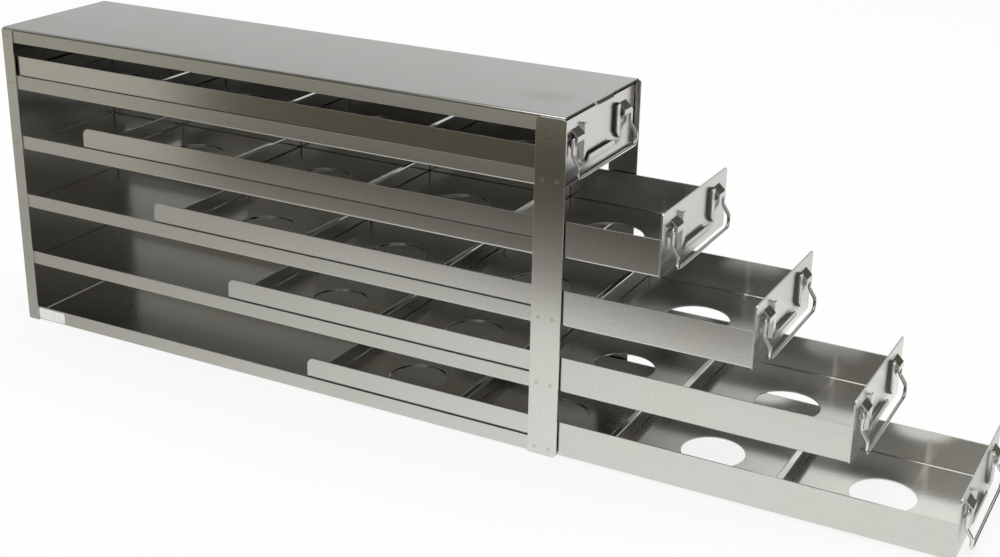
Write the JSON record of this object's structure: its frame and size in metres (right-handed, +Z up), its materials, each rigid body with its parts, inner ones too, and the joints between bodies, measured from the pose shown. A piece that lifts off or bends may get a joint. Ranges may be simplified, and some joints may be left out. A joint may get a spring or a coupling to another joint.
{
  "type": "freezer drawer rack",
  "caption": "Narrow sheet-metal freezer rack with stacked sliding drawers, low cross dividers, finger holes and hinged wire bail handles.",
  "frame": {"origin": "centre of the bottom shelf's underside, on the surface that the rack stands on", "axes": "+X across the rack, +Y from the drawer fronts to the back panel, +Z up; the drawers slide out along -Y"},
  "size_m": [0.14, 0.8907, 0.283],
  "materials": {
    "rack_steel": "satin",
    "front_steel": "satin",
    "tray_steel": "satin",
    "bail_wire": "polished"
  },
  "bodies": {
    "rack": {"top_panel": "rack_steel", "back_panel": "rack_steel", "front_post_left": "rack_steel", "front_post_right": "rack_steel", "shelf_1": "rack_steel", "shelf_2": "rack_steel", "shelf_3": "rack_steel", "shelf_4": "rack_steel", "shelf_5": "rack_steel"},
    "drawer_1": {"drawer_1_tray": "tray_steel", "drawer_1_front": "front_steel", "drawer_1_divider_1": "tray_steel", "drawer_1_divider_2": "tray_steel", "drawer_1_divider_3": "tray_steel"},
    "bail_1": {"drawer_1_bail": "bail_wire"},
    "drawer_2": {"drawer_2_tray": "tray_steel", "drawer_2_front": "front_steel", "drawer_2_divider_1": "tray_steel", "drawer_2_divider_2": "tray_steel", "drawer_2_divider_3": "tray_steel"},
    "bail_2": {"drawer_2_bail": "bail_wire"},
    "drawer_3": {"drawer_3_tray": "tray_steel", "drawer_3_front": "front_steel", "drawer_3_divider_1": "tray_steel", "drawer_3_divider_2": "tray_steel", "drawer_3_divider_3": "tray_steel"},
    "bail_3": {"drawer_3_bail": "bail_wire"},
    "drawer_4": {"drawer_4_tray": "tray_steel", "drawer_4_front": "front_steel", "drawer_4_divider_1": "tray_steel", "drawer_4_divider_2": "tray_steel", "drawer_4_divider_3": "tray_steel"},
    "bail_4": {"drawer_4_bail": "bail_wire"},
    "drawer_5": {"drawer_5_tray": "tray_steel", "drawer_5_front": "front_steel", "drawer_5_divider_1": "tray_steel", "drawer_5_divider_2": "tray_steel", "drawer_5_divider_3": "tray_steel"},
    "bail_5": {"drawer_5_bail": "bail_wire"}
  },
  "joints": [
    {"name": "drawer_1_slide", "type": "slide", "parent": "rack", "child": "drawer_1", "axis": [0, -1, 0], "range_m": [0, 0.417]},
    {"name": "bail_1_swing", "type": "hinge", "parent": "drawer_1", "child": "bail_1", "pos_m": [0, -0.2801, 0.2615], "axis": [-1, 0, 0], "range_deg": [0, 120]},
    {"name": "drawer_2_slide", "type": "slide", "parent": "rack", "child": "drawer_2", "axis": [0, -1, 0], "range_m": [-0.0841, 0.3329]},
    {"name": "bail_2_swing", "type": "hinge", "parent": "drawer_2", "child": "bail_2", "pos_m": [0, -0.3642, 0.2049], "axis": [-1, 0, 0], "range_deg": [0, 120]},
    {"name": "drawer_3_slide", "type": "slide", "parent": "rack", "child": "drawer_3", "axis": [0, -1, 0], "range_m": [-0.1606, 0.2564]},
    {"name": "bail_3_swing", "type": "hinge", "parent": "drawer_3", "child": "bail_3", "pos_m": [0, -0.4407, 0.1483], "axis": [-1, 0, 0], "range_deg": [0, 120]},
    {"name": "drawer_4_slide", "type": "slide", "parent": "rack", "child": "drawer_4", "axis": [0, -1, 0], "range_m": [-0.2392, 0.1778]},
    {"name": "bail_4_swing", "type": "hinge", "parent": "drawer_4", "child": "bail_4", "pos_m": [0, -0.5193, 0.0917], "axis": [-1, 0, 0], "range_deg": [0, 120]},
    {"name": "drawer_5_slide", "type": "slide", "parent": "rack", "child": "drawer_5", "axis": [0, -1, 0], "range_m": [-0.3212, 0.0958]},
    {"name": "bail_5_swing", "type": "hinge", "parent": "drawer_5", "child": "bail_5", "pos_m": [0, -0.6013, 0.0351], "axis": [-1, 0, 0], "range_deg": [0, 120]}
  ]
}
